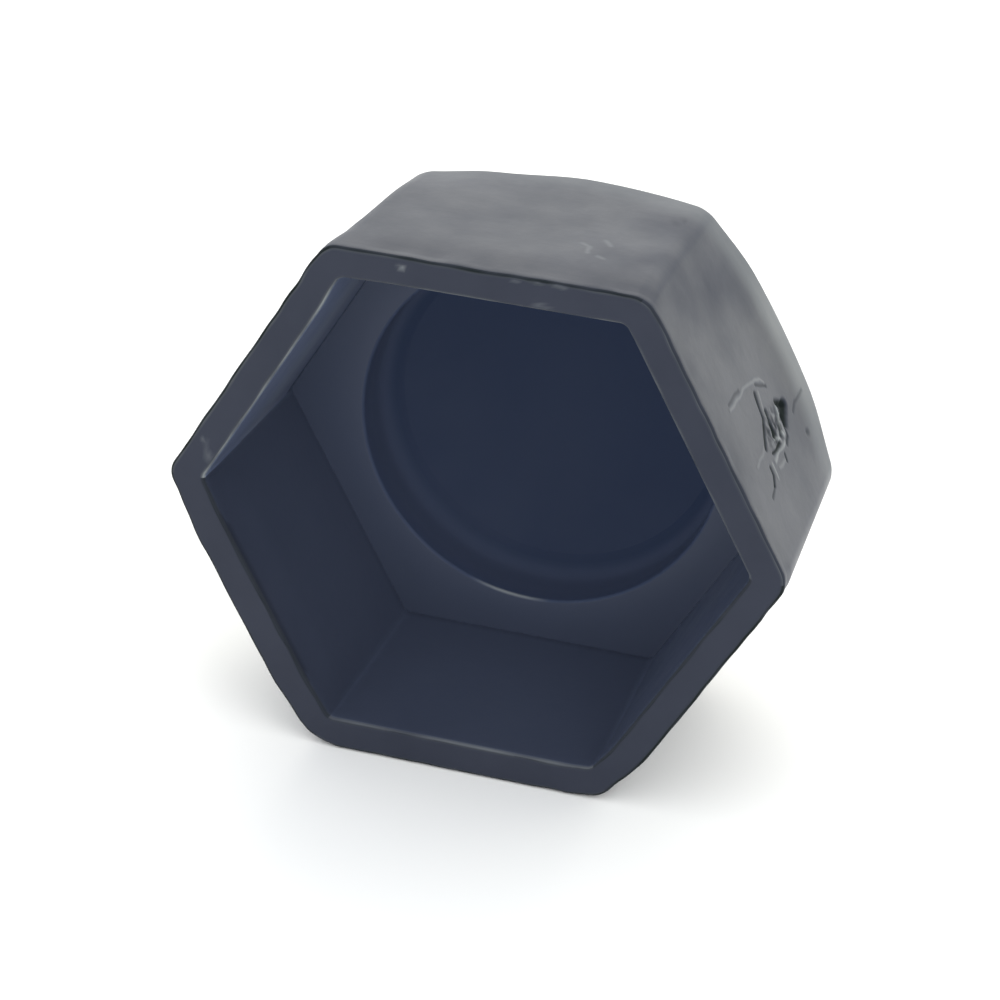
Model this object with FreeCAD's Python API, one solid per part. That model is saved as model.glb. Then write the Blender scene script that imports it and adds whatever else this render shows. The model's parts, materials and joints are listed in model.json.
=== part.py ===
import FreeCAD, Part
import math
import os

from FreeCAD import Vector

# Push-on cover cap for a hexagonal wheel nut, moulded in one piece.
# The cap lies on one of its six outer flats. Z is up from the surface that it lies on, Y runs from
# the open mouth to the domed end, and X is across. The origin is under the middle of the cap.
# All lengths are in millimetres and all angles in degrees.

# Socket that is pressed over the nut
nut_across_flats = 19.0
mouth_clearance = 0.2
socket_depth = 9.2
socket_draft = 1.7
socket_corner_radius = 0.4
mouth_lead_in = 0.25

# Skirt round the socket
mouth_wall = 1.36
skirt_draft = 2.8
skirt_corner_radius = 0.9
rim_edge_round = 0.25

# Shoulder that stops the nut, and the round recess behind it that clears the end of the stud
shoulder_width = 1.75
recess_edge_bevel = 0.3

# Domed closed end
corner_floor = 1.3
dome_rise = 4.4
dome_wall = 1.4
dome_edge_round = 0.8

# The skirt and the socket are hexagons
SIDES = 6
HALF_SIDE = math.radians(180 / SIDES)

# Largest share of a wall or ledge that an edge round may take up
ROUND_SHARE = 0.8

# Coordinates closer than this count as equal
NEAR = 1e-4

# Sizes that follow from the ones above
mouth_apothem = (nut_across_flats + mouth_clearance) / 2
floor_apothem = mouth_apothem - socket_depth * math.tan(math.radians(socket_draft))
rim_apothem = mouth_apothem + mouth_wall
recess_radius = floor_apothem - shoulder_width
corner_depth = socket_depth + corner_floor
overall_height = corner_depth + dome_rise


def skirt_apothem(depth):
    """Distance from the axis to an outer flat, at a depth behind the mouth."""
    return rim_apothem - depth * math.tan(math.radians(skirt_draft))


def hexagon(apothem, depth):
    """Corners of a hexagon across the axis, with a flat at the top and one at the bottom."""
    reach = apothem / math.cos(HALF_SIDE)
    corners = []
    for side in range(SIDES):
        angle = 2 * HALF_SIDE * side
        corners.append(Vector(reach * math.cos(angle), depth, reach * math.sin(angle)))
    return corners


def tapered_hexagon(front_apothem, front_depth, back_apothem, back_depth, corner_radius):
    """Solid hexagonal block whose flats lean in, with its six long edges rounded."""
    front = hexagon(front_apothem, front_depth)
    back = hexagon(back_apothem, back_depth)
    outlines = [front, back[::-1]]
    for side in range(SIDES):
        after = (side + 1) % SIDES
        outlines.append([front[side], back[side], back[after], front[after]])
    faces = [Part.Face(Part.makePolygon(outline + outline[:1])) for outline in outlines]
    skin = Part.Shell(faces)
    skin.sewShape()
    block = Part.Solid(skin)
    long_edges = []
    for edge in block.Edges:
        start, end = edge.Vertexes[0].Point, edge.Vertexes[-1].Point
        if abs(start.y - end.y) > NEAR:
            long_edges.append(edge)
    return block.makeFillet(corner_radius, long_edges)


def edges_at_depth(shape, depth, nearest, farthest):
    """Edges that lie in the plane at a depth, between two distances from the axis."""
    found = []
    for edge in shape.Edges:
        box = edge.BoundBox
        middle = edge.valueAt((edge.FirstParameter + edge.LastParameter) / 2)
        distance = math.hypot(middle.x, middle.z)
        flat = abs(box.YMin - depth) < NEAR and abs(box.YMax - depth) < NEAR
        if flat and nearest < distance < farthest:
            found.append(edge)
    return found


def dome_sphere():
    """Centre depth and radius of the dome, which passes through the ends of the skirt's corners."""
    rounded_off = skirt_corner_radius * (1 / math.cos(HALF_SIDE) - 1)
    reach = skirt_apothem(corner_depth) / math.cos(HALF_SIDE) - rounded_off
    radius = (reach ** 2 + dome_rise ** 2) / (2 * dome_rise)
    return overall_height - radius, radius


def outer_body():
    """Skirt and dome as one solid, with their edges rounded."""
    centre_depth, radius = dome_sphere()
    back_apothem = skirt_apothem(overall_height)
    skirt = tapered_hexagon(rim_apothem, 0, back_apothem, overall_height, skirt_corner_radius)
    # The pole of the ball is the top of the dome, so the ball's seam gives the dome's edge a starting point
    ball = Part.makeSphere(radius, Vector(0, centre_depth, 0), Vector(0, 1, 0))
    body = skirt.common(ball)
    dome_edges = []
    for face in body.Faces:
        if isinstance(face.Surface, Part.Sphere):
            for edge in face.OuterWire.Edges:
                if not edge.Degenerated and not edge.isSeam(face):
                    dome_edges.append(edge)
    body = body.makeFillet(dome_edge_round, dome_edges)
    rim_edges = edges_at_depth(body, 0, mouth_apothem, 2 * rim_apothem)
    return body.makeFillet(min(rim_edge_round, mouth_wall * ROUND_SHARE / 2), rim_edges)


def socket_space():
    """Hexagonal space for the nut, from the mouth to the shoulder."""
    return tapered_hexagon(mouth_apothem, 0, floor_apothem, socket_depth, socket_corner_radius)


def recess_space():
    """Round space behind the shoulder, closed by the underside of the dome."""
    centre_depth, radius = dome_sphere()
    underside = radius - dome_wall
    length = centre_depth + underside - socket_depth
    post = Part.makeCylinder(recess_radius, length, Vector(0, socket_depth, 0), Vector(0, 1, 0))
    ball = Part.makeSphere(underside, Vector(0, centre_depth, 0))
    return post.common(ball)


def nut_cap():
    """Finished cap with its axis along Y and the middle of its mouth at the origin."""
    cap = outer_body().cut(socket_space()).cut(recess_space())
    mouth_edges = edges_at_depth(cap, 0, 0, mouth_apothem / math.cos(HALF_SIDE) + NEAR)
    cap = cap.makeChamfer(min(mouth_lead_in, mouth_wall * ROUND_SHARE / 2), mouth_edges)
    ledge_edges = edges_at_depth(cap, socket_depth, 0, recess_radius + NEAR)
    return cap.makeChamfer(min(recess_edge_bevel, shoulder_width * ROUND_SHARE), ledge_edges)


def lay_down(shape):
    """Turn the cap until its lowest flat is level, and set it on the surface, centred on the origin."""
    laid = shape.copy()
    laid.rotate(Vector(0, 0, 0), Vector(1, 0, 0), -skirt_draft)
    box = laid.optimalBoundingBox(False, False)
    laid.translate(Vector(-box.Center.x, -box.Center.y, -box.ZMin))
    return laid


os.makedirs("parts", exist_ok=True)
cap = lay_down(nut_cap())
cap.exportStep("parts/nut_cap.step")
print("nut_cap", "valid" if cap.isValid() else "not valid", "solids", len(cap.Solids))
print("volume mm3", round(cap.Volume, 1), "size mm", [round(v, 3) for v in (
    cap.BoundBox.XLength, cap.BoundBox.YLength, cap.BoundBox.ZLength)])
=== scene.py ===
# %% [markdown]
# # A push-on plastic cap for a wheel nut
# The cap is one moulding: a hexagonal skirt that tapers, a hexagonal socket inside it, a shoulder with a
# round recess behind it, and a domed closed end. It lies on one of its flats with the open mouth towards
# us. The lesson models it by hand in the order in which a toolmaker would think of it, then gives it its
# plastic, its marks of use, a light and a camera.

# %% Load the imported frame
import json
import math

import bmesh
import bpy
from mathutils import Euler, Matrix, Quaternion, Vector, noise
from mathutils.geometry import intersect_point_line


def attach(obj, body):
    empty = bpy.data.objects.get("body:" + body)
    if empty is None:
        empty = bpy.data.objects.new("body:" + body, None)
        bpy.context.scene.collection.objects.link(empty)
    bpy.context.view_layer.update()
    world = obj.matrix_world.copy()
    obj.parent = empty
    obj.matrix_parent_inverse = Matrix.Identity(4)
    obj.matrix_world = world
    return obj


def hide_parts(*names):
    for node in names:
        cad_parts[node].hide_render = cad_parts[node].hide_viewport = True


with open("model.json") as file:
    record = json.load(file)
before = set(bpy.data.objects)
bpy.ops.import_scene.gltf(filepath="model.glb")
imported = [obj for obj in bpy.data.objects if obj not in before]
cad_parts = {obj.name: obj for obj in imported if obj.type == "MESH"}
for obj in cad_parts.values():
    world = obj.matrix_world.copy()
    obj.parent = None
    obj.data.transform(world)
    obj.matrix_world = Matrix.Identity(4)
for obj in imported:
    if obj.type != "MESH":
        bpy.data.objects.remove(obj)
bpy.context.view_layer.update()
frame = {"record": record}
mounts = {mount["name"]: mount for mount in frame["record"]["mounts"]}

# %% [markdown]
# The camera comes first, because every later choice is judged through it. It is a long lens that looks down
# into the mouth from the right, held with a slight roll, which is why the cap seems to lean in the picture.

# %% Camera
MM = 0.001
camera_azimuth = math.radians(16.414)
camera_elevation = math.radians(29.199)
camera_roll = math.radians(2.22)
camera_distance = 149.264 * MM
camera_aim = Vector((0.867, -6.361, 11.932)) * MM
camera_sensor = 36
camera_focal_length = 139.318
camera_nearest = 10 * MM

towards_camera = Vector((
    math.sin(camera_azimuth) * math.cos(camera_elevation),
    -math.cos(camera_azimuth) * math.cos(camera_elevation),
    math.sin(camera_elevation)))
bpy.ops.object.camera_add(location=camera_aim + towards_camera * camera_distance)
camera = bpy.context.object
camera.name = "camera"
level_look = (-towards_camera).to_track_quat("-Z", "Y")
camera.rotation_euler = (level_look @ Quaternion((0, 0, 1), camera_roll)).to_euler()
camera.data.sensor_width = camera_sensor
camera.data.lens = camera_focal_length
camera.data.clip_start = camera_nearest
bpy.context.scene.camera = camera
print("camera at", [round(value, 4) for value in camera.location])

# %% [markdown]
# The sizes are those of the solid, in metres. The cap is modelled standing on its mouth, with Z as the
# depth behind the mouth and two corners of the hexagon on X, because a hexagon is easiest to cut and scale
# upright. It is laid down only when its shape is finished.

# %% Sizes
# Places closer than this count as the same
NEAR = 0.1 * MM
SIDES = 6
HALF_SIDE = math.radians(180 / SIDES)
mouth_apothem = 9.6 * MM
mouth_wall = 1.36 * MM
rim_apothem = mouth_apothem + mouth_wall
socket_depth = 9.2 * MM
socket_draft = math.radians(1.7)
socket_corner_radius = 0.4 * MM
skirt_draft = math.radians(2.8)
skirt_corner_radius = 0.9 * MM
recess_radius = mounts["stud_recess"]["dims"]["r_mm"] * MM
corner_depth = 10.5 * MM
dome_rise = 4.4 * MM
dome_wall = 1.4 * MM
overall_height = corner_depth + dome_rise


def skirt_apothem(depth):
    """Distance from the axis to an outer flat, at a depth behind the mouth."""
    return rim_apothem - depth * math.tan(skirt_draft)


corner_reach = skirt_apothem(corner_depth) / math.cos(HALF_SIDE)
corner_reach -= skirt_corner_radius * (1 / math.cos(HALF_SIDE) - 1)
dome_radius = (corner_reach ** 2 + dome_rise ** 2) / (2 * dome_rise)
dome_centre = Vector((0, 0, overall_height - dome_radius))
print("dome radius mm", round(dome_radius / MM, 3))

# %% [markdown]
# Edit-mode tools act on what is selected, so a few small helpers do the choosing. One picks by place or
# shape. Two more keep a loop of points under a name, as a vertex group, and find it again in a later step.
# The rest extrude a loop, hand over the selected points and tell upright edges from level ones.

# %% Helpers for choosing
WHOLE_WEIGHT = 0.99
UPRIGHT_RISE = 1 * MM
MERGE_DISTANCE = 0.001 * MM


def pick(kind, wanted):
    """Selects just those points, edges or faces of the edited mesh that pass a test."""
    modes = {"verts": "VERT", "edges": "EDGE", "faces": "FACE"}
    bpy.ops.mesh.select_mode(type=modes[kind])
    bpy.ops.mesh.select_all(action="DESELECT")
    edited = bmesh.from_edit_mesh(bpy.context.object.data)
    for element in getattr(edited, kind):
        element.select_set(wanted(element))
    edited.select_flush_mode()
    bmesh.update_edit_mesh(bpy.context.object.data)


def remember(name):
    """Keeps the selected points under a name."""
    bpy.ops.object.vertex_group_add()
    bpy.context.object.vertex_groups.active.name = name
    bpy.ops.object.vertex_group_assign()


def recall(name):
    """Selects the edges between the points kept under a name. Points cut in later hold only a part weight."""
    group = bpy.context.object.vertex_groups[name].index
    weights = bmesh.from_edit_mesh(bpy.context.object.data).verts.layers.deform.verify()
    pick("edges", lambda edge: all(point[weights].get(group, 0) > WHOLE_WEIGHT for point in edge.verts))


def extrude_loop(rise=0):
    """Extrudes the selected loop of edges along Z. The new loop belongs to no kept group."""
    bpy.ops.mesh.extrude_edges_move(TRANSFORM_OT_translate={"value": (0, 0, rise)})
    bpy.ops.object.vertex_group_remove_from(use_all_groups=True)


def selected_points():
    """The edited mesh, which is held as long as its points are in use, and its selected points."""
    edited = bmesh.from_edit_mesh(bpy.context.object.data)
    return edited, [point for point in edited.verts if point.select]


def is_upright(edge):
    """True for an edge that runs from the mouth towards the dome."""
    return abs(edge.verts[0].co.z - edge.verts[1].co.z) > UPRIGHT_RISE


print("helpers ready, points closer than", MERGE_DISTANCE / MM, "mm are merged")

# %% [markdown]
# The skirt and the socket are the same kind of wall: a six-sided tube that narrows with depth, so that the
# moulding lets go of its tool, with rounded corners. A tube without ends, its far ring scaled in and its
# upright edges bevelled, gives both. Cutting the flats into even columns keeps the later shading smooth.

# %% Hexagonal walls
CORNER_SEGMENTS = 8
FLAT_CUTS = 15
DEPTH_CUTS = 11


def hexagonal_wall(name, near_apothem, far_apothem, depth, corner_radius):
    """A tapered six-sided tube that stands on its wider end."""
    bpy.ops.object.select_all(action="DESELECT")
    bpy.ops.mesh.primitive_cylinder_add(
        vertices=SIDES, radius=near_apothem / math.cos(HALF_SIDE), depth=depth,
        end_fill_type="NOTHING", location=(0, 0, depth / 2), rotation=(0, 0, HALF_SIDE))
    wall = bpy.context.object
    wall.name = name
    bpy.ops.object.transform_apply(location=True, rotation=True, scale=True)
    bpy.ops.object.mode_set(mode="EDIT")
    pick("verts", lambda point: point.co.z > depth / 2)
    taper = far_apothem / near_apothem
    bpy.ops.transform.resize(value=(taper, taper, 1))
    pick("edges", is_upright)
    bpy.ops.mesh.bevel(offset=corner_radius * math.tan(HALF_SIDE), segments=CORNER_SEGMENTS, affect="EDGES")
    pick("edges", lambda edge: not is_upright(edge) and edge.calc_length() > near_apothem / 2)
    bpy.ops.mesh.subdivide(number_cuts=FLAT_CUTS)
    return wall


far_apothem = skirt_apothem(overall_height)
cap = hexagonal_wall("moulded_cap", rim_apothem, far_apothem, overall_height, skirt_corner_radius)
print("skirt", len(bmesh.from_edit_mesh(cap.data).verts), "points")

# %% [markdown]
# The dome is a shallow ball that cuts the skirt off: highest over the middles of the flats and lowest at
# the corners, which gives the far edge its six arcs. A Boolean cut would leave long thin faces there, so
# each point of the far ring slides down its own upright edge to where that edge meets the ball.

# %% Trim the skirt to the dome
def place_on_ball(point):
    """Where a point of the far ring meets the dome's ball when it slides down its upright edge."""
    upright = [edge for edge in point.link_edges if is_upright(edge)][0]
    foot = upright.other_vert(point).co
    along = point.co - foot
    start = foot - dome_centre
    # The share of the edge that is kept solves square * share ** 2 + slope * share + offset = 0
    square = along.length_squared
    slope = 2 * start.dot(along)
    offset = start.length_squared - dome_radius ** 2
    share = (-slope + math.sqrt(slope * slope - 4 * square * offset)) / (2 * square)
    return foot + along * share


pick("verts", lambda point: point.co.z > overall_height / 2)
edited, far_ring = selected_points()
trimmed = [place_on_ball(point) for point in far_ring]
for point, place in zip(far_ring, trimmed):
    point.co = place
bmesh.update_edit_mesh(cap.data)
pick("edges", is_upright)
bpy.ops.mesh.subdivide(number_cuts=DEPTH_CUTS)
pick("edges", lambda edge: edge.is_boundary and edge.verts[0].co.z > corner_depth / 2)
remember("dome_edge")
depths = [round(place.z / MM, 2) for place in trimmed]
print("far edge of the skirt from", min(depths), "to", max(depths), "mm deep")

# %% [markdown]
# The closed end is drawn in rings: extrude the edge, scale it towards the axis, set it on the ball, and
# again, until the last ring closes in one point. The same function makes the hollow underside of the dome
# later.

# %% Dome
RINGS = 12


def close_with_rings(ball_radius):
    """Closes the selected loop towards the axis with rings that lie on a ball round the dome's centre."""
    for step in range(1, RINGS):
        extrude_loop()
        edited, ring = selected_points()
        smaller = (RINGS - step) / (RINGS - step + 1)
        for point in ring:
            point.co.xy *= smaller
            point.co.z = dome_centre.z + math.sqrt(ball_radius ** 2 - point.co.xy.length_squared)
        bmesh.update_edit_mesh(bpy.context.object.data)
    extrude_loop()
    bpy.ops.mesh.select_mode(type="VERT")
    bpy.ops.mesh.merge(type="CENTER")
    edited, tip = selected_points()
    tip[0].co = dome_centre + Vector((0, 0, ball_radius))
    bmesh.update_edit_mesh(bpy.context.object.data)


recall("dome_edge")
close_with_rings(dome_radius)
bpy.ops.object.mode_set(mode="OBJECT")
print("skirt and dome", len(cap.data.polygons), "faces")

# %% [markdown]
# The socket is the hexagonal space that the nut is pressed into. It is a second wall like the skirt, joined
# into the same mesh. A bridge between the two front loops could make the flat rim, but the loops lie round
# the same middle in one plane, which leaves the bridge tool no direction to work from. So the skirt's loop
# is extruded, its points go to their partners on the socket's mouth, and doubles are merged.

# %% Socket and rim
RIM_CUTS = 2
floor_apothem = mouth_apothem - socket_depth * math.tan(socket_draft)
socket = hexagonal_wall("socket", mouth_apothem, floor_apothem, socket_depth, socket_corner_radius)
pick("edges", is_upright)
bpy.ops.mesh.subdivide(number_cuts=DEPTH_CUTS)
pick("verts", lambda point: point.co.z > socket_depth - NEAR)
remember("socket_floor")
bpy.ops.object.mode_set(mode="OBJECT")
cap.select_set(True)
bpy.context.view_layer.objects.active = cap
bpy.ops.object.join()


def hexagon_distance(place):
    """How far a place is from the axis, measured square to the nearest flat."""
    turns = [HALF_SIDE * (2 * side + 1) for side in range(SIDES)]
    return max(place.x * math.cos(turn) + place.y * math.sin(turn) for turn in turns)


def order_round_axis(point):
    """Sorts points round the axis, from just before the corner on +X."""
    just_before = 0.01
    return (math.atan2(point.co.y, point.co.x) + just_before) % (2 * math.pi)


def is_at_front(point, outside):
    """True for a point in the plane of the mouth on the skirt's side of the rim, or on the socket's."""
    return point.co.z < NEAR and (hexagon_distance(point.co) > mouth_apothem + mouth_wall / 2) == outside


def crosses_rim(edge):
    """True for an edge that runs across the flat front of the rim."""
    first, second = edge.verts
    return is_at_front(first, True) != is_at_front(second, True) and max(first.co.z, second.co.z) < NEAR


bpy.ops.object.mode_set(mode="EDIT")
pick("verts", lambda point: is_at_front(point, False))
edited, mouth_ring = selected_points()
mouth_places = [point.co.copy() for point in sorted(mouth_ring, key=order_round_axis)]
pick("verts", lambda point: is_at_front(point, True))
bpy.ops.mesh.extrude_edges_move()
edited, rim_ring = selected_points()
for point, place in zip(sorted(rim_ring, key=order_round_axis), mouth_places):
    point.co = place
bpy.ops.mesh.select_all(action="SELECT")
bpy.ops.mesh.remove_doubles(threshold=MERGE_DISTANCE)
for name, outside in (("mouth_edge", False), ("rim_edge", True)):
    pick("verts", lambda point: is_at_front(point, outside))
    remember(name)
pick("edges", crosses_rim)
bpy.ops.mesh.subdivide(number_cuts=RIM_CUTS)
print("with socket and rim", len(bmesh.from_edit_mesh(cap.data).faces), "faces")

# %% [markdown]
# At the bottom of the socket a shoulder stops the nut. Its inner edge is round, because the recess behind
# it clears the round end of the stud. The hexagonal loop is extruded and its points are set on a circle,
# and the recess is that circle extruded on to the hollow side of the dome.

# %% Shoulder and recess
inner_ball = dome_radius - dome_wall
recess_floor = dome_centre.z + math.sqrt(inner_ball ** 2 - recess_radius ** 2)
recall("socket_floor")
extrude_loop()
edited, ring = selected_points()
for point in ring:
    point.co.xy = point.co.xy.normalized() * recess_radius
bmesh.update_edit_mesh(cap.data)
remember("recess_lip")
extrude_loop(recess_floor - socket_depth)
remember("recess_floor")
close_with_rings(inner_ball)
print("recess from", socket_depth / MM, "to", round(recess_floor / MM, 2), "mm deep")

# %% [markdown]
# Now the skin has no hole left. Merging doubles joins what only lies together, and recalculating the
# normals then turns every face outwards. A closed skin has a volume, which can be compared with the
# solid's.

# %% Close the mesh
bpy.ops.mesh.select_all(action="SELECT")
bpy.ops.mesh.remove_doubles(threshold=MERGE_DISTANCE)
bpy.ops.mesh.normals_make_consistent(inside=False)
edited = bmesh.from_edit_mesh(cap.data)
open_edges = [edge for edge in edited.edges if not edge.is_manifold]
print("open edges", len(open_edges), "faces", len(edited.faces))
print("volume mm3", round(edited.calc_volume() / MM ** 3, 1))

# %% [markdown]
# No edge of a moulding is sharp. Each kept loop gets its own bevel: a soft one round the dome, finer ones
# at the rim, the mouth and the lip of the recess, and a broad one where the wall of the recess meets its
# floor.

# %% Edge rounds
ROUND_SEGMENTS = 4
edge_rounds = {
    "dome_edge": 0.385 * MM,
    "rim_edge": 0.2 * MM,
    "mouth_edge": 0.2 * MM,
    "recess_lip": 0.15 * MM,
    "recess_floor": 0.9 * MM,
}
for loop, width in edge_rounds.items():
    recall(loop)
    bpy.ops.mesh.bevel(offset=width, segments=ROUND_SEGMENTS, affect="EDGES")
    print(loop, "rounded,", len(bmesh.from_edit_mesh(cap.data).faces), "faces")

# %% [markdown]
# Small marks need small faces. The whole skin is divided once, which also keeps long reflections even, and
# the places with marks, the torn spot, the scratches on the top flat and the front edge, are divided again.
# Round such a place the faces get many corners, so they are cut into well-shaped triangles.

# %% Finer skin where the marks are
TORN_SIDE = 5
TOP_SIDE = 4
SKIN_DEPTH = 0.3 * MM
FRONT_BAND = 0.5 * MM
QUAD_CORNERS = 4
SKIN_CUTS = 1
TORN_CUTS = 7
TOP_CUTS = 4
FRONT_CUTS = 1
torn_zone = ((-1.1, 4.4), (1.9, 10.6))
top_zone = ((2.1, 4.2), (2.4, 5.3))


def flat_directions(side):
    """The way out of a flat, and the way along it across the axis. Side 4 ends up on top, 5 right of it."""
    turn = HALF_SIDE * (2 * side + 1)
    return Vector((math.cos(turn), math.sin(turn), 0)), Vector((-math.sin(turn), math.cos(turn), 0))


def place_on_flat(point, side):
    """Millimetres along a flat and behind the mouth, or None for a point that isn't on that flat."""
    out, along = flat_directions(side)
    if point.z < 0 or out.dot(point) < skirt_apothem(point.z) - SKIN_DEPTH:
        return None
    return along.dot(point) / MM, point.z / MM


def is_in_zone(face, side, zone):
    """True for a face of a flat between two places along it and two depths, in millimetres."""
    along, depth = zone
    place = place_on_flat(face.calc_center_median(), side)
    return place is not None and along[0] < place[0] < along[1] and depth[0] < place[1] < depth[1]


def is_front_edge(face):
    """True for a face on the outer front edge."""
    middle = face.calc_center_median()
    return middle.z < FRONT_BAND and hexagon_distance(middle) > rim_apothem - FRONT_BAND


bpy.ops.mesh.select_all(action="SELECT")
bpy.ops.mesh.subdivide(number_cuts=SKIN_CUTS)
pick("faces", lambda face: is_in_zone(face, TORN_SIDE, torn_zone))
bpy.ops.mesh.subdivide(number_cuts=TORN_CUTS)
pick("faces", lambda face: is_in_zone(face, TOP_SIDE, top_zone))
bpy.ops.mesh.subdivide(number_cuts=TOP_CUTS)
pick("faces", is_front_edge)
bpy.ops.mesh.subdivide(number_cuts=FRONT_CUTS)
pick("faces", lambda face: len(face.verts) > QUAD_CORNERS)
bpy.ops.mesh.quads_convert_to_tris(quad_method="BEAUTY", ngon_method="BEAUTY")
bpy.ops.object.mode_set(mode="OBJECT")
print("skin of", len(cap.data.polygons), "faces")

# %% [markdown]
# Marks of use could be sculpted with brushes, but strokes that are written down can be repeated. Each is a
# line on the skin with a width, a lift and a tint, and the points near it move out or in. Places, widths
# and lifts are in millimetres, and a place on a flat is how far along it and how far behind the mouth. A
# tint above nought makes the plastic paler and one below makes it darker, and two lists keep both for the
# material; they hold real scuffs and grime as well as painted highlights and painted shade.

# %% Strokes on the skin
WANDER_LENGTH = 0.7 * MM
WANDER = 0.1
WANDER_SEED = 1
# Without a seed the noise that makes strokes wander would start from the clock
noise.seed_set(WANDER_SEED)
# Paleness and darkness of each point, from real scuffs and grime and from painted highlights and painted
# shade
rubbed = [0.0] * len(cap.data.vertices)
darkened = [0.0] * len(cap.data.vertices)


def distance_to_line(place, line):
    """Distance from a place to a line of points, all in the same two coordinates."""
    spot = Vector(place)
    nearest = min((spot - Vector(corner)).length for corner in line)
    for start, end in zip(line, line[1:]):
        start, end = Vector(start), Vector(end)
        share = (spot - start).dot(end - start) / (end - start).length_squared
        if 0 < share < 1:
            nearest = min(nearest, (spot - start.lerp(end, share)).length)
    return nearest


def smooth_fall(distance, width):
    """One on the line, nought at the width, with a soft slope."""
    share = min(1, max(0, 1 - distance / width))
    return share * share * (3 - 2 * share)


def draw_strokes(strokes, place_of, lift_way):
    """Lifts or sinks the points near each stroke, and notes how pale or dark they become."""
    for vertex in cap.data.vertices:
        place = place_of(vertex.co)
        if place is None:
            continue
        waver = noise.noise_vector(vertex.co / WANDER_LENGTH) * WANDER
        place = (place[0] + waver.x, place[1] + waver.y)
        lift = 0
        for line, width, height, tint in strokes:
            amount = smooth_fall(distance_to_line(place, line), width)
            lift += amount * height
            if tint > 0:
                rubbed[vertex.index] = min(1, rubbed[vertex.index] + amount * tint)
            else:
                darkened[vertex.index] = min(1, darkened[vertex.index] - amount * tint)
        vertex.co += lift_way * lift * MM


print("strokes wander by up to", WANDER, "mm")

# %% [markdown]
# On the right-hand flat the plastic is torn: a pit, a few ridges that were pulled up, and grooves beside
# them. The strokes follow those one by one, with painted shade in the pit and the grooves and painted
# highlights on the ridges. Between them the torn plastic is uneven in no order, so a noise roughens a patch
# there, with a painted highlight where it stands up and painted shade where it lies deep.

# %% Torn spot on the right-hand flat
# Sunk strokes carry painted shade and raised ones a painted highlight
torn_strokes = [
    ([(-0.5, 2.5), (-0.4, 4.2)], 0.12, -0.015, -0.3),
    ([(-0.3, 2.4), (-0.2, 4.2), (-0.1, 5.8), (0.2, 6.8), (0.5, 7.1)], 0.13, 0.02, 0.22),
    ([(0.2, 6.2), (0.7, 7.2)], 0.13, -0.03, -0.4),
    ([(0.4, 5.8), (0.9, 5.5), (1.3, 5.4), (1.6, 5.0), (1.9, 4.5), (2.2, 4.2)], 0.18, -0.05, -0.9),
    ([(0.5, 6.1), (1.1, 5.8), (1.4, 5.7)], 0.15, 0.015, 0.15),
    ([(1.3, 6.0), (1.7, 5.9), (2.0, 5.8), (2.2, 5.6)], 0.2, -0.06, -0.9),
    ([(1.5, 7.5), (1.7, 7.9), (1.9, 8.3)], 0.24, -0.08, -1.0),
    ([(1.9, 8.2), (2.1, 7.9), (2.3, 7.5)], 0.4, -0.17, -1.6),
    ([(1.75, 7.7), (2.1, 7.6)], 0.3, -0.1, -1.2),
    ([(1.6, 7.2), (1.9, 7.0), (2.1, 6.7), (2.4, 6.5), (2.6, 6.6)], 0.16, 0.045, 0.6),
    ([(2.3, 5.5), (2.35, 5.8), (2.5, 6.0)], 0.15, 0.035, 0.6),
    ([(2.8, 6.4), (2.8, 5.1), (2.9, 4.5)], 0.14, 0.03, 0.4),
    ([(2.6, 5.9), (2.7, 5.2), (2.6, 4.7)], 0.13, -0.05, -0.9),
    ([(2.4, 7.2), (2.8, 7.1), (3.0, 6.6)], 0.15, -0.03, -0.6),
    ([(3.1, 5.9), (3.4, 5.8)], 0.14, -0.03, -0.8),
    ([(3.3, 5.6), (3.2, 4.6)], 0.13, 0.015, 0.2),
    ([(2.8, 3.8), (3.1, 3.7), (3.4, 3.3)], 0.15, -0.04, -0.9),
    ([(3.4, 3.3), (3.6, 2.6)], 0.12, -0.02, -0.5),
    ([(2.8, 4.1), (3.3, 4.0)], 0.13, 0.02, 0.3),
    ([(2.1, 4.0), (2.2, 2.5)], 0.13, 0.012, 0.15),
    ([(2.3, 10.3), (2.3, 9.2), (2.5, 8.7)], 0.13, -0.02, -0.3),
    ([(3.6, 9.1), (3.65, 9.2)], 0.24, -0.03, -0.4),
]
torn_middle = (2.1, 6.3)
torn_reach = (1.0, 2.4)
shred_size = (0.6, 0.45)
shred_lift = 0.06 * MM
pale_above = 0.12
pale_gain = 0.8
dark_below = 0.3
dark_gain = 1.2
SHRED_SEED = 3
SHRED_DIMENSION = 0.8
SHRED_LACUNARITY = 2.0
SHRED_OCTAVES = 3
torn_out = flat_directions(TORN_SIDE)[0]
draw_strokes(torn_strokes, lambda point: place_on_flat(point, TORN_SIDE), torn_out)
for vertex in cap.data.vertices:
    place = place_on_flat(vertex.co, TORN_SIDE)
    if place is None:
        continue
    off_middle = [(here - middle) / reach for here, middle, reach in zip(place, torn_middle, torn_reach)]
    amount = smooth_fall(math.hypot(*off_middle), 1)
    shred_place = Vector((place[0] / shred_size[0], place[1] / shred_size[1], SHRED_SEED))
    shred = noise.fractal(shred_place, SHRED_DIMENSION, SHRED_LACUNARITY, SHRED_OCTAVES)
    vertex.co += torn_out * amount * shred * shred_lift
    # Painted highlight where the shreds stand up, painted shade where they lie deep
    pale = amount * max(0, shred - pale_above) * pale_gain
    dark = amount * max(0, dark_below - shred) * dark_gain
    rubbed[vertex.index] = min(1, rubbed[vertex.index] + pale)
    darkened[vertex.index] = min(1, darkened[vertex.index] + dark)
print("torn spot drawn with", len(torn_strokes), "strokes")

# %% [markdown]
# The top flat has only a few curled scratches and one small dent. They are strokes too, but shallow, and
# they show mostly because they are paler than the skin round them.

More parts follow.
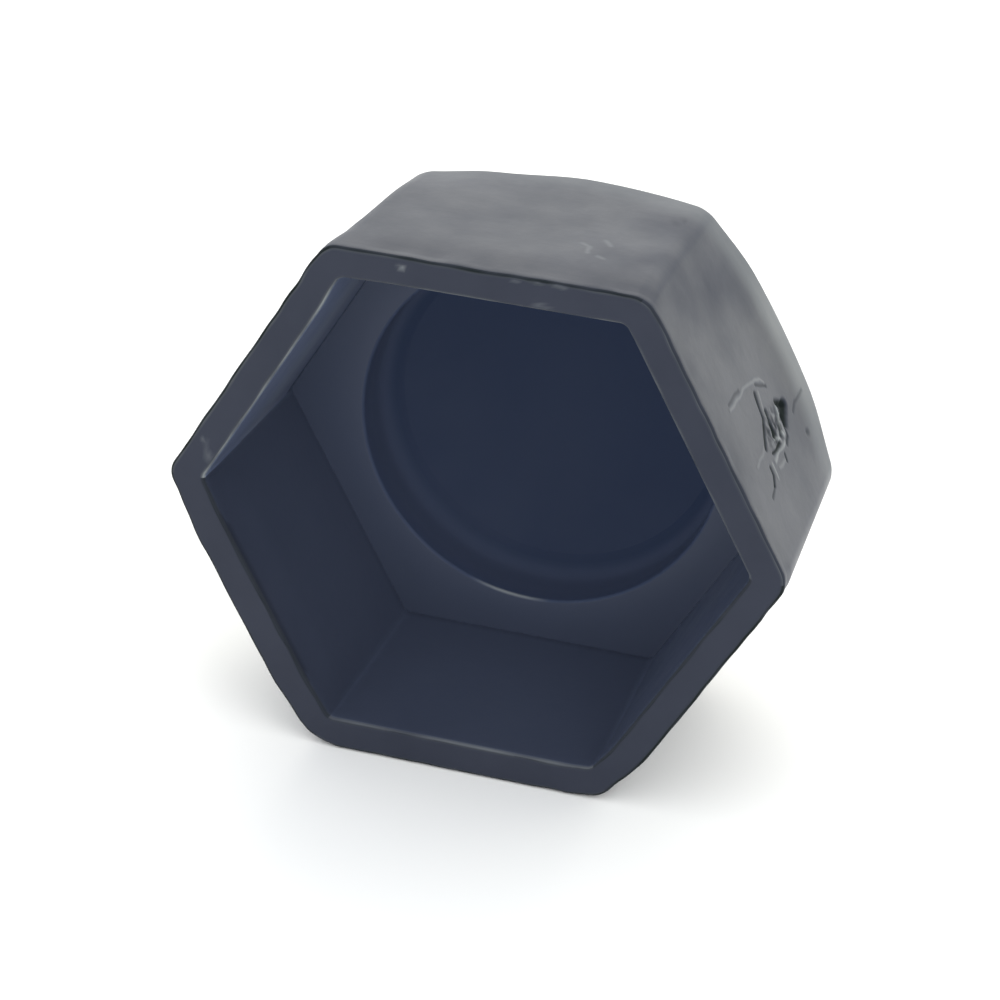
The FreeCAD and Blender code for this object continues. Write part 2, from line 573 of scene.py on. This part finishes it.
# %% Light scratches on the top flat
top_strokes = [
    ([(2.6, 4.2), (3.0, 3.9), (3.05, 3.3)], 0.18, -0.01, 0.15),
    ([(3.35, 4.8), (3.7, 4.35)], 0.18, -0.01, 0.15),
    ([(3.5, 3.05), (3.75, 2.9)], 0.18, -0.01, 0.15),
    ([(5.4, 8.2), (5.45, 8.3)], 0.3, -0.02, -0.4),
]
top_out = flat_directions(TOP_SIDE)[0]
draw_strokes(top_strokes, lambda point: place_on_flat(point, TOP_SIDE), top_out)
print("top flat scratched with", len(top_strokes), "strokes")

# %% [markdown]
# The flat front of the rim has a pale speck, a nick, a mark at its left corner and some flakes along its
# top edge. The same strokes are drawn across the rim, in the two directions square to the axis.

# %% Specks and nicks on the rim
rim_skin = 0.12 * MM
rim_strokes = [
    ([(-3.25, -10.5), (-3.2, -10.45)], 0.16, -0.02, 0.4),
    ([(2.0, -9.95), (2.4, -9.85)], 0.16, -0.03, 0.2),
    ([(-11.1, -1.7), (-10.8, -0.9)], 0.14, -0.02, 0.16),
    ([(1.1, -10.75), (1.3, -10.75)], 0.12, -0.03, 0.14),
    ([(2.0, -10.8), (2.2, -10.8)], 0.12, -0.03, 0.14),
    ([(2.75, -10.85), (3.15, -10.75)], 0.12, -0.03, 0.14),
]


def place_on_rim(point):
    """Millimetres across the rim, or None for a point behind it."""
    return (point.x / MM, point.y / MM) if point.z < rim_skin else None


draw_strokes(rim_strokes, place_on_rim, Vector((0, 0, -1)))
print("rim marked with", len(rim_strokes), "strokes")

# %% [markdown]
# A thin moulding is never quite even: walls bow, and corners get knocked in. Each of these is a soft pull,
# as proportional editing does by hand: a line on the skin, how far round it the pull reaches, and where it
# goes. All are in millimetres. The cap still stands on its mouth, and minus Y will be up when it lies.

# %% Uneven walls and knocked corners
LEFT_SIDE = 2
right_out, right_along = flat_directions(TORN_SIDE)
left_out, left_along = flat_directions(LEFT_SIDE)
far_middle = right_out * 10.3 + Vector((0, 0, 11.4))
left_middle = left_out * 10.96
soft_pulls = [
    # Lower left and lower right corners of the rim
    (Vector((-6.1, 10.7, 0)), Vector((-6.1, 10.7, 0.5)), 1.1, Vector((0.1, -0.17, 0))),
    (Vector((6.3, 10.5, 0)), Vector((6.3, 10.5, 0.5)), 2.2, Vector((-0.32, -0.14, 0))),
    # Long corner left of the top flat, then the far edge and the front edge of that flat
    (Vector((-6.0, -10.5, 2.6)), Vector((-5.6, -10.0, 11.0)), 2.5, Vector((0.17, 0.13, 0))),
    (Vector((-5.6, -10.2, 10.8)), Vector((-2.6, -10.4, 11.3)), 3.6, Vector((0, 0.2, 0))),
    (Vector((-5.8, -10.96, 0)), Vector((5.8, -10.96, 0)), 2.2, Vector((0, 0.16, 0))),
    # Upper left corner of the mouth
    (Vector((-5.5, -9.6, 0)), Vector((-5.4, -9.4, 3)), 2.0, Vector((-0.16, 0.05, 0))),
    # Far edge of the right-hand flat, and front edge of the lower left one, which bow out
    (far_middle - right_along * 2.5, far_middle + right_along * 2.5, 3.6, right_out * 0.24),
    (left_middle - left_along * 3, left_middle + left_along * 3, 3.0, left_out * 0.2),
]
for start, end, reach, pull in soft_pulls:
    for vertex in cap.data.vertices:
        share = intersect_point_line(vertex.co / MM, start, end)[1]
        nearest = start.lerp(end, min(1, max(0, share)))
        vertex.co += pull * smooth_fall((vertex.co / MM - nearest).length, reach) * MM
print("soft pulls", len(soft_pulls))

# %% [markdown]
# The moulded edges carry painted light. The edge of the mouth has a painted highlight on some sides and
# painted shade on others, the outer front edge has painted shade and is a little ragged, the edge of the
# dome has a painted highlight in a soft band, and a short arc of the recess's lip has a painted highlight.
# The kept loops still hold the points of their edge rounds, and the way a point faces tells where it lies
# across the round, so that each mark stays a thin line.

# %% Painted light on the edges, and a ragged front edge
PART_WEIGHT = 0.05
ROUND_MIDDLE = 45
ROUND_SPREAD = 38
RAG_SHIFT = Vector((7, 0, 0))
SHOWN = 0.1
rag_length = 1.1 * MM
rag_start = 0.3
rag_depth = 0.06 * MM
lip_height = 0.3 * MM
dome_band = {"middle": 0.5 * MM, "width": 1.2 * MM, "fade": 1.1 * MM}
dome_painted_highlight = 0.15
torn_side_highlight = 0.18
torn_side_focus = 8
# Painted highlight and painted shade on each side of the hexagon, by its number
mouth_painted_highlight = {0: 0.05, 1: 0.24, 2: 0.0, 3: 0.62, 4: 0.3, 5: 0.28}
mouth_painted_shade = {0: 0.5, 1: 0.0, 2: 0.6, 3: 0.0, 4: 0.0, 5: 0.1}
rim_painted_shade = {0: 1.0, 1: 1.0, 2: 1.0, 3: 1.0, 4: 0.8, 5: 0.35}
lip_highlight_arc = (math.radians(84), math.radians(110))


def side_of(point):
    """The number of the flat that a point faces."""
    return int(math.degrees(math.atan2(point.y, point.x)) % 360 // (360 / SIDES))


def patchy(place, base, swing, length):
    """A value that changes round a base in patches of about a length."""
    return base + swing * noise.noise(place / length)


def edge_points(name):
    """The points of an edge round, each with its place across: one in the middle, nought at the borders."""
    group = cap.vertex_groups[name].index
    found = []
    for vertex in cap.data.vertices:
        if any(member.group == group and member.weight > PART_WEIGHT for member in vertex.groups):
            tilt = math.degrees(math.acos(min(1, abs(vertex.normal.z))))
            found.append((vertex, max(0, 1 - abs(tilt - ROUND_MIDDLE) / ROUND_SPREAD)))
    return found


# Painted highlight along the middle of the mouth's round on some sides, painted shade on others
for vertex, middle in edge_points("mouth_edge"):
    patch = patchy(vertex.co, base=0.9, swing=0.9, length=1.3 * MM)
    rubbed[vertex.index] += middle * mouth_painted_highlight[side_of(vertex.co)] * max(0, patch)
    darkened[vertex.index] += middle * mouth_painted_shade[side_of(vertex.co)]
# Painted shade in a thin line along the outer front edge, less on the sides towards the lights; the edge is
# also made ragged
for vertex, middle in edge_points("rim_edge"):
    patch = patchy(vertex.co, base=1.1, swing=0.8, length=0.9 * MM)
    darkened[vertex.index] += middle * patch * rim_painted_shade[side_of(vertex.co)]
    outward = Vector((vertex.co.x, vertex.co.y, 0)).normalized()
    ragged = noise.noise(vertex.co / rag_length + RAG_SHIFT) - rag_start
    vertex.co += outward * min(0, ragged) * rag_depth
# Painted highlight in a soft band along the dome's edge, strongest towards the torn flat
for vertex in cap.data.vertices:
    before_dome = dome_radius - (vertex.co - dome_centre).length
    from_flat = skirt_apothem(vertex.co.z) - hexagon_distance(vertex.co)
    band = smooth_fall(abs(before_dome - dome_band["middle"]), dome_band["width"])
    band *= smooth_fall(from_flat, dome_band["fade"])
    towards_torn = max(0, torn_out.dot(Vector((vertex.co.x, vertex.co.y, 0)).normalized()))
    rubbed[vertex.index] += (dome_painted_highlight + torn_side_highlight * towards_torn ** torn_side_focus) * band
# Painted highlight on a short arc of the recess's lip
for vertex, middle in edge_points("recess_lip"):
    turn = math.atan2(vertex.co.y, vertex.co.x)
    if lip_highlight_arc[0] < turn < lip_highlight_arc[1] and vertex.co.z < socket_depth + lip_height:
        along_arc = (turn - lip_highlight_arc[0]) / (lip_highlight_arc[1] - lip_highlight_arc[0])
        rubbed[vertex.index] += middle * math.sin(math.pi * along_arc)
print("rubbed points", sum(value > SHOWN for value in rubbed))
print("dark points", sum(value > SHOWN for value in darkened))

# %% [markdown]
# Inside, the plastic is painted lighter and bluer than outside, as painted light coming in through the
# mouth, and one wall has more painted light across its middle. A third list says how much painted light a
# point has, and a fourth marks the recess, which is duller and painted a darker blue as painted shade. A
# thin line of painted shade lies in the corner between the shoulder and that wall.

# %% Painted light and shade inside
# Painted light on each side of the socket, by its number
painted_light_at_mouth = {0: 0.35, 1: 0.25, 2: 0.15, 3: 0.95, 4: 0.3, 5: 0.5}
painted_light_at_shoulder = {0: 0.75, 1: 0.62, 2: 0.55, 3: 1.0, 4: 0.4, 5: 0.5}
shoulder_painted_light = 0.5
shoulder_slope = 0.09
# The wall with extra painted light across its middle and painted shade in the corner at its foot
PAINTED_LIGHT_WALL = 3
wall_painted_light = {"amount": 0.2, "middle": 0.6, "reach": 0.35}
# Painted shade along the corner at the foot of that wall
corner_painted_shade = {"amount": 0.5, "depth": socket_depth - 0.35 * MM, "width": 0.3 * MM}
# Painted light on the recess's wall at its lip, and what it gains behind the lip
lip_painted_light = 0.3
lip_gain = 0.38
lip_fade = 0.4 * MM
# Share of the recess's radius at which the wall's painted light begins, and how much farther out it is whole
wall_start = 0.92
wall_fade = 0.08
recess_limit = inner_ball + 0.5 * MM
inside = []
recessed = []


def is_in_socket(place):
    """True on the socket's walls."""
    return NEAR < place.z < socket_depth and hexagon_distance(place) < mouth_apothem + NEAR


def is_in_recess(place):
    """True on the wall and the floor of the recess."""
    return place.xy.length < recess_radius + NEAR and (place - dome_centre).length < recess_limit


def is_on_shoulder(place):
    """True on the flat shoulder at the bottom of the socket."""
    return abs(place.z - socket_depth) < NEAR / 10 and hexagon_distance(place) < floor_apothem + NEAR


for vertex in cap.data.vertices:
    in_recess = is_in_recess(vertex.co)
    recessed.append(1.0 if in_recess else 0.0)
    if in_recess:
        # Painted light on the recess's wall, most just behind the lip
        off_axis = vertex.co.xy.length / recess_radius
        behind_lip = 1 - smooth_fall(vertex.co.z - socket_depth, lip_fade)
        on_wall = 1 - smooth_fall(off_axis - wall_start, wall_fade)
        inside.append((lip_painted_light + lip_gain * behind_lip) * on_wall)
    elif is_in_socket(vertex.co):
        # Painted light on the socket's walls, set side by side and blended from mouth to shoulder
        side = side_of(vertex.co)
        deep = vertex.co.z / socket_depth
        inside.append(painted_light_at_mouth[side] * (1 - deep) + painted_light_at_shoulder[side] * deep)
        if side == PAINTED_LIGHT_WALL:
            # Painted light across the middle of this wall and painted shade in the corner at its foot
            wall_light = smooth_fall(abs(deep - wall_painted_light["middle"]), wall_painted_light["reach"])
            corner_shade = smooth_fall(abs(corner_painted_shade["depth"] - vertex.co.z), corner_painted_shade["width"])
            rubbed[vertex.index] += wall_painted_light["amount"] * wall_light
            darkened[vertex.index] += corner_painted_shade["amount"] * corner_shade
    elif is_on_shoulder(vertex.co):
        # Painted light on the shoulder, lighter towards the top
        inside.append(shoulder_painted_light - shoulder_slope * vertex.co.y / floor_apothem)
    else:
        inside.append(0.0)
print("inside points", sum(value > 0 for value in inside), "of", len(inside))

# %% [markdown]
# Handling has dulled the corner between the top flat and the one right of it in blotches. They change only
# the sheen, so the list made here only makes the plastic rougher there.

# %% Smudges along the corner between the two lit flats
smudge_middle = 0.8 * MM
smudge_reach = 4.8 * MM
smudge_limit = rim_apothem - 1 * MM
smudged = []
corner_turn = 2 * HALF_SIDE * TORN_SIDE
corner_out = Vector((math.cos(corner_turn), math.sin(corner_turn), 0))
corner_across = Vector((-corner_out.y, corner_out.x, 0))
for vertex in cap.data.vertices:
    near_corner = 0
    if corner_out.dot(vertex.co) > smudge_limit:
        near_corner = smooth_fall(abs(corner_across.dot(vertex.co) - smudge_middle), smudge_reach)
    patch = patchy(vertex.co, base=0.6, swing=1.2, length=2.2 * MM)
    smudged.append(near_corner * max(0, patch))
print("smudged points", sum(value > SHOWN for value in smudged))

# %% [markdown]
# Attributes belong to the mesh and move with its points, so a pattern that is kept in them stays in place
# however the cap is turned. The named loops have done their work and go.

# %% Keep the marks and the painted light as attributes
marks_and_painted_light = {
    "rubbed": rubbed,
    "darkened": darkened,
    "inside": inside,
    "recessed": recessed,
    "smudged": smudged,
}
for name, values in marks_and_painted_light.items():
    attribute = cap.data.attributes.new(name, "FLOAT", "POINT")
    attribute.data.foreach_set("value", [min(1, value) for value in values])
cap.vertex_groups.clear()
print("attributes", list(marks_and_painted_light))

# %% [markdown]
# The finished shape is laid on its flat. The frame's record says where the middle of the mouth is and which
# way the socket faces, so the turn and the move come from there.

# %% Lay the cap down
SMOOTH_BELOW = math.radians(35)
mouth_centre = Vector(mounts["nut_socket"]["pos_m"])
mouth_axis = Vector(mounts["nut_socket"]["axis"])
tip_angle = math.atan2(mouth_axis.z, -mouth_axis.y)
bpy.ops.object.select_all(action="DESELECT")
cap.select_set(True)
bpy.context.view_layer.objects.active = cap
cap.rotation_euler = Euler((-(math.pi / 2 + tip_angle), 0, 0))
cap.location = mouth_centre
bpy.ops.object.transform_apply(location=True, rotation=True, scale=True)
bpy.ops.object.shade_smooth_by_angle(angle=SMOOTH_BELOW)
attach(cap, "root")
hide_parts("nut_cap")
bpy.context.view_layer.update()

# %% [markdown]
# The plastic is a satin navy black. Its colour comes from a slow noise between two tones, its sheen from a
# rougher and a smoother finish in patches, and its fine surface from a bump. The attributes do the rest:
# the inside is painted lighter and bluer as painted light, the recess a darker blue as painted shade, the
# pale places are scuffs and painted highlights, and the dark lines, nearly black and dull, are grime and
# painted shade. A picture of the real plastic could be wrapped round it, but nodes stay sharp at any
# distance.

# %% Plastic
plastic = bpy.data.materials.new("cap_plastic_satin")
plastic.use_nodes = True
tree = plastic.node_tree
shader = tree.nodes["Principled BSDF"]
sheen_level = 0.18
shader.inputs["Specular IOR Level"].default_value = sheen_level


def feed(socket, value):
    """Sets an input to a number or colour, or links it to the output of another node."""
    if isinstance(value, bpy.types.NodeSocket):
        tree.links.new(value, socket)
    else:
        socket.default_value = value


def add_node(kind, **inputs):
    """Adds a node to the plastic and feeds its inputs, by name or, after an underscore, by place."""
    made = tree.nodes.new(kind)
    for name, value in inputs.items():
        feed(made.inputs[int(name[1:])] if name[0] == "_" else made.inputs[name], value)
    return made


def attribute_value(name):
    """The value of one of the cap's own attributes."""
    made = add_node("ShaderNodeAttribute")
    made.attribute_name = name
    return made.outputs["Fac"]


def blend_colours(factor, first, second):
    """One colour passing into another. A mix node's sockets share their names, so they go by their place."""
    made = tree.nodes.new("ShaderNodeMix")
    made.data_type = "RGBA"
    feed(made.inputs[0], factor)
    feed(made.inputs[6], first)
    feed(made.inputs[7], second)
    return made.outputs[2]


def between(value, low, high):
    """A value from nought to one, spread between two others."""
    made = add_node("ShaderNodeMapRange", Value=value)
    made.inputs["To Min"].default_value = low
    made.inputs["To Max"].default_value = high
    return made.outputs["Result"]


place = add_node("ShaderNodeTexCoord").outputs["Object"]
patches = add_node("ShaderNodeTexNoise", Vector=place, Scale=260.0, Detail=3.0, Roughness=0.6)
smudges = add_node("ShaderNodeTexNoise", Vector=place, Scale=190.0, Detail=5.0, Roughness=0.65)
grain = add_node("ShaderNodeTexNoise", Vector=place, Scale=2600.0, Detail=3.0, Roughness=0.6)
streak_place = add_node("ShaderNodeMapping", Vector=place, Rotation=(0.4, 0.2, 0.9), Scale=(120, 2400, 2400))
streaks = add_node("ShaderNodeTexNoise", Vector=streak_place.outputs["Vector"], Scale=1.0, Detail=2.0)

dark_navy = (0.019, 0.023, 0.037, 1)
light_navy = (0.033, 0.038, 0.057, 1)
# Darker blue in the recess, as painted shade
painted_recess_shade_blue = (0.030, 0.045, 0.092, 1)
# Lighter blue on the inside, as painted light
painted_inside_light_blue = (0.105, 0.128, 0.200, 1)
# Pale grey for scuffs and painted highlights, near black for grime and painted shade
wear_and_highlight_grey = (0.28, 0.30, 0.305, 1)
dirt_and_shade_black = (0.006, 0.010, 0.010, 1)
outer_navy = blend_colours(patches.outputs["Fac"], dark_navy, light_navy)
navy_with_painted_recess_shade = blend_colours(attribute_value("recessed"), outer_navy, painted_recess_shade_blue)
navy = blend_colours(attribute_value("inside"), navy_with_painted_recess_shade, painted_inside_light_blue)
paled = blend_colours(attribute_value("rubbed"), navy, wear_and_highlight_grey)
coloured = blend_colours(attribute_value("darkened"), paled, dirt_and_shade_black)
tree.links.new(coloured, shader.inputs["Base Color"])

smooth_finish = 0.22
rough_finish = 0.62
smudge_roughness = 0.12
dirt_and_shade_roughness = 0.5
recess_roughness = 0.2
polish_gain = 0.05
polish_from = 19 * MM
polish_to = 11 * MM
height = add_node("ShaderNodeSeparateXYZ", Vector=place).outputs["Z"]
polish = add_node("ShaderNodeMapRange", Value=height)
polish.inputs["From Min"].default_value = polish_from
polish.inputs["From Max"].default_value = polish_to
polish.inputs["To Max"].default_value = polish_gain
dulled = add_node("ShaderNodeMath", _0=between(smudges.outputs["Fac"], smooth_finish, rough_finish),
                  _1=between(attribute_value("smudged"), 0, smudge_roughness))
polished = add_node("ShaderNodeMath", _0=dulled.outputs["Value"], _1=polish.outputs["Result"])
polished.operation = "SUBTRACT"
# Dark places, grime and painted shade alike, are also rougher
rougher_where_dark = add_node("ShaderNodeMath", _0=polished.outputs["Value"],
                 _1=between(attribute_value("darkened"), 0, dirt_and_shade_roughness))
rough = add_node("ShaderNodeMath", _0=rougher_where_dark.outputs["Value"],
                 _1=between(attribute_value("recessed"), 0, recess_roughness))
tree.links.new(rough.outputs["Value"], shader.inputs["Roughness"])

bump_height = 0.02 * MM
fine_bump = add_node("ShaderNodeBump", Strength=0.25, Distance=bump_height, Height=grain.outputs["Fac"])
streak_bump = add_node("ShaderNodeBump", Strength=0.12, Distance=bump_height, Height=streaks.outputs["Fac"],
                       Normal=fine_bump.outputs["Normal"])
tree.links.new(streak_bump.outputs["Normal"], shader.inputs["Normal"])
cap.data.materials.clear()
cap.data.materials.append(plastic)
print("plastic with", len(tree.nodes), "nodes")

# %% [markdown]
# The studio is plain. The cap lies on a white floor that is large enough to have no edge in the picture.
# The floor isn't part of the object.

# %% Floor
FLOOR_SIZE = 6
paper_white = (0.95, 0.94, 0.92, 1)
paper_roughness = 0.9
bpy.ops.object.select_all(action="DESELECT")
bpy.ops.mesh.primitive_plane_add(size=FLOOR_SIZE)
floor = bpy.context.object
floor.name = "floor"
paper = bpy.data.materials.new("floor_white")
paper.use_nodes = True
paper.node_tree.nodes["Principled BSDF"].inputs["Base Color"].default_value = paper_white
paper.node_tree.nodes["Principled BSDF"].inputs["Roughness"].default_value = paper_roughness
floor.data.materials.append(paper)
print("floor", list(floor.dimensions))

# %% [markdown]
# A white surround and four soft lights. Three of them stand behind the cap, low enough to be mirrored in
# its top and right-hand flats and in the corner between them, which turn grey although the plastic is
# nearly black. The fourth stands in front and lights the inside through the mouth.

# %% Light
LIGHTS_AIM = Vector((0, 0, 0.01))
surround_white = (0.94, 0.97, 1, 1)
surround_strength = 1.25
world = bpy.data.worlds.new("studio")
bpy.context.scene.world = world
world.use_nodes = True
world.node_tree.nodes["Background"].inputs["Color"].default_value = surround_white
world.node_tree.nodes["Background"].inputs["Strength"].default_value = surround_strength


def softbox(name, place, colour, size, watts):
    """A square area light that faces the cap."""
    bpy.ops.object.light_add(type="AREA", location=place)
    light = bpy.context.object
    light.name = name
    light.data.size = size
    light.data.energy = watts
    light.data.color = colour
    light.rotation_euler = (LIGHTS_AIM - Vector(place)).to_track_quat("-Z", "Y").to_euler()


softbox("back_softbox", place=(-0.06, 0.28, 0.22), colour=(1, 0.97, 0.86), size=0.3, watts=0.57)
softbox("side_softbox", place=(0.18, 0.18, 0.025), colour=(1, 0.97, 0.75), size=0.15, watts=0.14)
softbox("corner_softbox", place=(0.11, 0.30, 0.17), colour=(1, 0.97, 0.82), size=0.12, watts=0.13)
softbox("front_softbox", place=(0.25, -0.21, 0.29), colour=(1, 1, 1), size=0.2, watts=0.2)
bpy.context.scene.view_settings.view_transform = "Standard"
